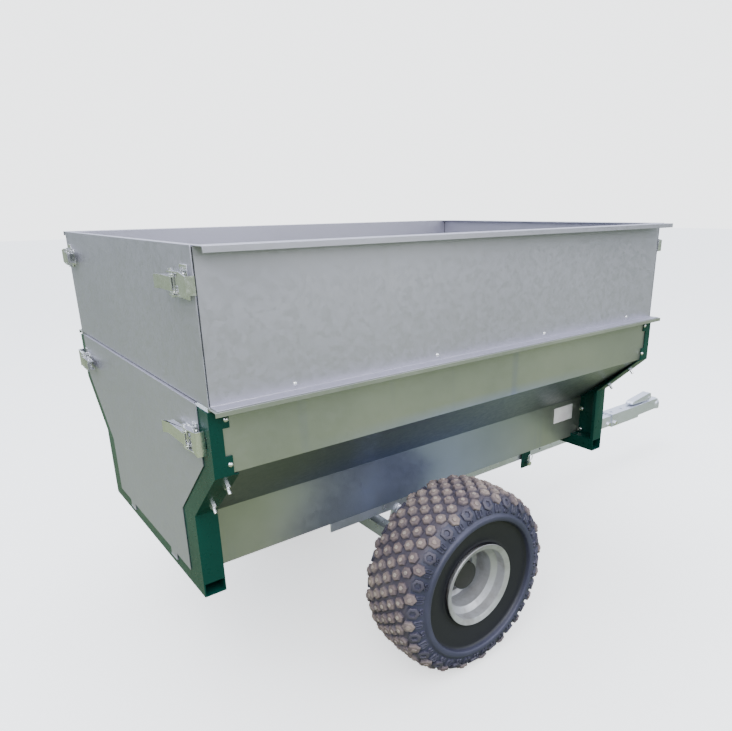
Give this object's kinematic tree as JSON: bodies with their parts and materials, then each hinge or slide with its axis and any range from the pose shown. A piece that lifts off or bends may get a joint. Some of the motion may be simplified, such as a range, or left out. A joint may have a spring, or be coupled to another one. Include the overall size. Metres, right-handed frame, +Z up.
{
  "type": "tipping trailer",
  "caption": "Single-axle tipping trailer with a flared sheet tub, corner posts, tailgate, latched extension frame, drawbar and ball coupling.",
  "frame": {"origin": "on the ground under the middle of the trailer's bounding box", "axes": "+X forward to the coupling, +Y to the trailer's left, +Z up"},
  "size_m": [2.5358, 1.24, 1.1379],
  "materials": {
    "galvanised_sheet": "hot-dip galvanised sheet, soft spangle",
    "galvanised_section": "bright galvanised sections and weldments",
    "green_paint": "dark green gloss powder coat",
    "zinc_plate": "bright zinc plating on latches and fasteners",
    "tyre_rubber": "dusty off-road tyre rubber",
    "rim_paint": "silver painted rim",
    "black_plastic": "moulded black plastic",
    "label": "blank pale film label",
    "black_rubber": "solid rubber"
  },
  "bodies": {
    "chassis": {"drawbar": "galvanised_section", "drawbar_cap": "black_plastic", "axle_beams": "galvanised_section", "spindles": "galvanised_section", "chassis_fasteners": "zinc_plate", "rest_pad": "black_rubber", "coupling_body": "galvanised_section", "coupling_pin": "zinc_plate"},
    "coupling_keeper": {"coupling_keeper": "zinc_plate"},
    "coupling_handle": {"coupling_handle": "zinc_plate"},
    "tub": {"tub_side_right": "galvanised_sheet", "tub_side_left": "galvanised_sheet", "tub_front_panel": "galvanised_sheet", "tub_floor": "galvanised_sheet", "bearer_right": "galvanised_section", "bearer_left": "galvanised_section", "cross_member_rear": "green_paint", "cross_member_front": "green_paint", "post_rear_right": "green_paint", "post_rear_left": "green_paint", "post_front_right": "green_paint", "post_front_left": "green_paint", "tub_fasteners": "zinc_plate", "lock_bracket": "green_paint", "label_plate": "label", "extension_side_right": "galvanised_sheet", "extension_side_left": "galvanised_sheet"},
    "lock_pin": {"lock_pin": "zinc_plate", "lock_clip": "zinc_plate"},
    "tailgate": {"tailgate": "galvanised_sheet", "latch_bases_tailgate": "zinc_plate"},
    "rear_panel": {"extension_rear_panel": "galvanised_sheet", "latch_bases_rear_panel": "zinc_plate"},
    "front_panel": {"extension_front_panel": "galvanised_sheet", "latch_bases_front_panel": "zinc_plate"},
    "wheel_right": {"tyre_right": "tyre_rubber", "rim_right": "rim_paint", "hub_right": "rim_paint", "bearings_right": "zinc_plate", "wheel_studs_right": "zinc_plate", "hub_cap_right": "black_plastic"},
    "wheel_left": {"tyre_left": "tyre_rubber", "rim_left": "rim_paint", "hub_left": "rim_paint", "bearings_left": "zinc_plate", "wheel_studs_left": "zinc_plate", "hub_cap_left": "black_plastic"},
    "lever_tailgate_right": {"latch_lever_tailgate_right": "zinc_plate"},
    "claw_tailgate_right": {"latch_claw_tailgate_right": "zinc_plate"},
    "lever_tailgate_left": {"latch_lever_tailgate_left": "zinc_plate"},
    "claw_tailgate_left": {"latch_claw_tailgate_left": "zinc_plate"},
    "lever_rear_panel_right": {"latch_lever_rear_panel_right": "zinc_plate"},
    "claw_rear_panel_right": {"latch_claw_rear_panel_right": "zinc_plate"},
    "lever_rear_panel_left": {"latch_lever_rear_panel_left": "zinc_plate"},
    "claw_rear_panel_left": {"latch_claw_rear_panel_left": "zinc_plate"},
    "lever_front_panel_right": {"latch_lever_front_panel_right": "zinc_plate"},
    "claw_front_panel_right": {"latch_claw_front_panel_right": "zinc_plate"},
    "lever_front_panel_left": {"latch_lever_front_panel_left": "zinc_plate"},
    "claw_front_panel_left": {"latch_claw_front_panel_left": "zinc_plate"}
  },
  "joints": [
    {"name": "wheel_right_spin", "type": "hinge", "parent": "chassis", "child": "wheel_right", "pos_m": [-0.60915, -0.505, 0.254], "axis": [0, 1, 0], "continuous": true},
    {"name": "wheel_left_spin", "type": "hinge", "parent": "chassis", "child": "wheel_left", "pos_m": [-0.60915, 0.505, 0.254], "axis": [0, 1, 0], "continuous": true},
    {"name": "tub_tip", "type": "hinge", "parent": "chassis", "child": "tub", "pos_m": [-0.60915, 0, 0.338], "axis": [0, -1, 0], "range_deg": [0, 30]},
    {"name": "tailgate_hinge", "type": "hinge", "parent": "tub", "child": "tailgate", "pos_m": [-1.23865, 0, 0.383], "axis": [0, -1, 0], "range_deg": [0, 90]},
    {"name": "rear_panel_pull", "type": "slide", "parent": "tub", "child": "rear_panel", "axis": [-1, 0, 0], "range_m": [0, 0.12]},
    {"name": "front_panel_pull", "type": "slide", "parent": "tub", "child": "front_panel", "axis": [1, 0, 0], "range_m": [0, 0.12]},
    {"name": "lock_pin_pull", "type": "slide", "parent": "tub", "child": "lock_pin", "axis": [0, -1, 0], "range_m": [0, 0.025]},
    {"name": "coupling_handle_lift", "type": "hinge", "parent": "chassis", "child": "coupling_handle", "pos_m": [1.16885, 0, 0.272], "axis": [0, 1, 0], "range_deg": [0, 70]},
    {"name": "coupling_keeper_draw", "type": "slide", "parent": "chassis", "child": "coupling_keeper", "axis": [-1, 0, 0], "range_m": [0, 0.006]},
    {"name": "lever_tailgate_right_turn", "type": "hinge", "parent": "tailgate", "child": "lever_tailgate_right", "pos_m": [-1.25365, -0.425, 0.772], "axis": [0, 0, 1], "range_deg": [0, 120]},
    {"name": "claw_tailgate_right_turn", "type": "hinge", "parent": "lever_tailgate_right", "child": "claw_tailgate_right", "pos_m": [-1.25265, -0.413, 0.772], "axis": [0, 0, 1], "range_deg": [-120, 0]},
    {"name": "lever_tailgate_left_turn", "type": "hinge", "parent": "tailgate", "child": "lever_tailgate_left", "pos_m": [-1.25365, 0.425, 0.772], "axis": [0, 0, -1], "range_deg": [0, 120]},
    {"name": "claw_tailgate_left_turn", "type": "hinge", "parent": "lever_tailgate_left", "child": "claw_tailgate_left", "pos_m": [-1.25265, 0.413, 0.772], "axis": [0, 0, -1], "range_deg": [-120, 0]},
    {"name": "lever_rear_panel_right_turn", "type": "hinge", "parent": "rear_panel", "child": "lever_rear_panel_right", "pos_m": [-1.24715, -0.44, 1.07], "axis": [0, 0, 1], "range_deg": [0, 120]},
    {"name": "claw_rear_panel_right_turn", "type": "hinge", "parent": "lever_rear_panel_right", "child": "claw_rear_panel_right", "pos_m": [-1.24615, -0.428, 1.07], "axis": [0, 0, 1], "range_deg": [-120, 0]},
    {"name": "lever_rear_panel_left_turn", "type": "hinge", "parent": "rear_panel", "child": "lever_rear_panel_left", "pos_m": [-1.24715, 0.44, 1.07], "axis": [0, 0, -1], "range_deg": [0, 120]},
    {"name": "claw_rear_panel_left_turn", "type": "hinge", "parent": "lever_rear_panel_left", "child": "claw_rear_panel_left", "pos_m": [-1.24615, 0.428, 1.07], "axis": [0, 0, -1], "range_deg": [-120, 0]},
    {"name": "lever_front_panel_right_turn", "type": "hinge", "parent": "front_panel", "child": "lever_front_panel_right", "pos_m": [0.26485, -0.44, 1.07], "axis": [0, 0, -1], "range_deg": [0, 120]},
    {"name": "claw_front_panel_right_turn", "type": "hinge", "parent": "lever_front_panel_right", "child": "claw_front_panel_right", "pos_m": [0.26385, -0.428, 1.07], "axis": [0, 0, -1], "range_deg": [-120, 0]},
    {"name": "lever_front_panel_left_turn", "type": "hinge", "parent": "front_panel", "child": "lever_front_panel_left", "pos_m": [0.26485, 0.44, 1.07], "axis": [0, 0, 1], "range_deg": [0, 120]},
    {"name": "claw_front_panel_left_turn", "type": "hinge", "parent": "lever_front_panel_left", "child": "claw_front_panel_left", "pos_m": [0.26385, 0.428, 1.07], "axis": [0, 0, 1], "range_deg": [-120, 0]}
  ],
  "couplings": [
    {"joint": "coupling_keeper_draw", "follows": "coupling_handle_lift", "m_per_rad": 0.004911},
    {"joint": "claw_tailgate_right_turn", "follows": "lever_tailgate_right_turn", "ratio": -1},
    {"joint": "claw_tailgate_left_turn", "follows": "lever_tailgate_left_turn", "ratio": -1},
    {"joint": "claw_rear_panel_right_turn", "follows": "lever_rear_panel_right_turn", "ratio": -1},
    {"joint": "claw_rear_panel_left_turn", "follows": "lever_rear_panel_left_turn", "ratio": -1},
    {"joint": "claw_front_panel_right_turn", "follows": "lever_front_panel_right_turn", "ratio": -1},
    {"joint": "claw_front_panel_left_turn", "follows": "lever_front_panel_left_turn", "ratio": -1}
  ]
}
